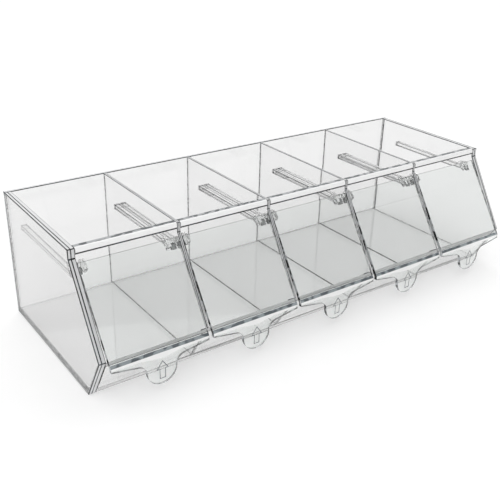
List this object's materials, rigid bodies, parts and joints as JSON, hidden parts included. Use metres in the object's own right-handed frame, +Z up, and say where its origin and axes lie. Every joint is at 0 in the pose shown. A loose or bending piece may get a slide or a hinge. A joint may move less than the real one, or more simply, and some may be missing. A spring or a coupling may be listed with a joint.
{
  "type": "candy bin",
  "caption": "Clear acrylic countertop candy bin with open-topped compartments in a row and a flip-up front lid with a finger tab on each.",
  "frame": {"origin": "centre of the closed bin in plan, on the counter", "axes": "+X along the row of compartments to the right as seen from the front, +Y to the back, +Z up; the lids face -Y"},
  "size_m": [0.447, 0.1822, 0.116],
  "materials": {
    "bin_acrylic": "polished",
    "header_acrylic": "polished",
    "runner_acrylic": "polished",
    "lid_acrylic": "polished",
    "lug_acrylic": "polished"
  },
  "bodies": {
    "bin": {"base_panel": "bin_acrylic", "back_panel": "bin_acrylic", "left_end_panel": "bin_acrylic", "right_end_panel": "bin_acrylic", "divider_1": "bin_acrylic", "divider_2": "bin_acrylic", "divider_3": "bin_acrylic", "divider_4": "bin_acrylic", "front_kick_panel": "bin_acrylic", "header_bar_1": "header_acrylic", "header_bar_2": "header_acrylic", "header_bar_3": "header_acrylic", "header_bar_4": "header_acrylic", "header_bar_5": "header_acrylic", "runner_1_left": "runner_acrylic", "runner_1_right": "runner_acrylic", "runner_2_left": "runner_acrylic", "runner_2_right": "runner_acrylic", "runner_3_left": "runner_acrylic", "runner_3_right": "runner_acrylic", "runner_4_left": "runner_acrylic", "runner_4_right": "runner_acrylic", "runner_5_left": "runner_acrylic", "runner_5_right": "runner_acrylic"},
    "lid_1_assembly": {"lid_1": "lid_acrylic", "lid_1_pivot_lugs": "lug_acrylic"},
    "lid_2_assembly": {"lid_2": "lid_acrylic", "lid_2_pivot_lugs": "lug_acrylic"},
    "lid_3_assembly": {"lid_3": "lid_acrylic", "lid_3_pivot_lugs": "lug_acrylic"},
    "lid_4_assembly": {"lid_4": "lid_acrylic", "lid_4_pivot_lugs": "lug_acrylic"},
    "lid_5_assembly": {"lid_5": "lid_acrylic", "lid_5_pivot_lugs": "lug_acrylic"}
  },
  "joints": [
    {"name": "lid_1_hinge", "type": "hinge", "parent": "bin", "child": "lid_1_assembly", "pos_m": [-0.1752, -0.03726, 0.0991], "axis": [-1, 0, 0], "range_deg": [0, 56]},
    {"name": "lid_2_hinge", "type": "hinge", "parent": "bin", "child": "lid_2_assembly", "pos_m": [-0.0876, -0.03726, 0.0991], "axis": [-1, 0, 0], "range_deg": [0, 56]},
    {"name": "lid_3_hinge", "type": "hinge", "parent": "bin", "child": "lid_3_assembly", "pos_m": [0, -0.03726, 0.0991], "axis": [-1, 0, 0], "range_deg": [0, 56]},
    {"name": "lid_4_hinge", "type": "hinge", "parent": "bin", "child": "lid_4_assembly", "pos_m": [0.0876, -0.03726, 0.0991], "axis": [-1, 0, 0], "range_deg": [0, 56]},
    {"name": "lid_5_hinge", "type": "hinge", "parent": "bin", "child": "lid_5_assembly", "pos_m": [0.1752, -0.03726, 0.0991], "axis": [-1, 0, 0], "range_deg": [0, 56]}
  ]
}
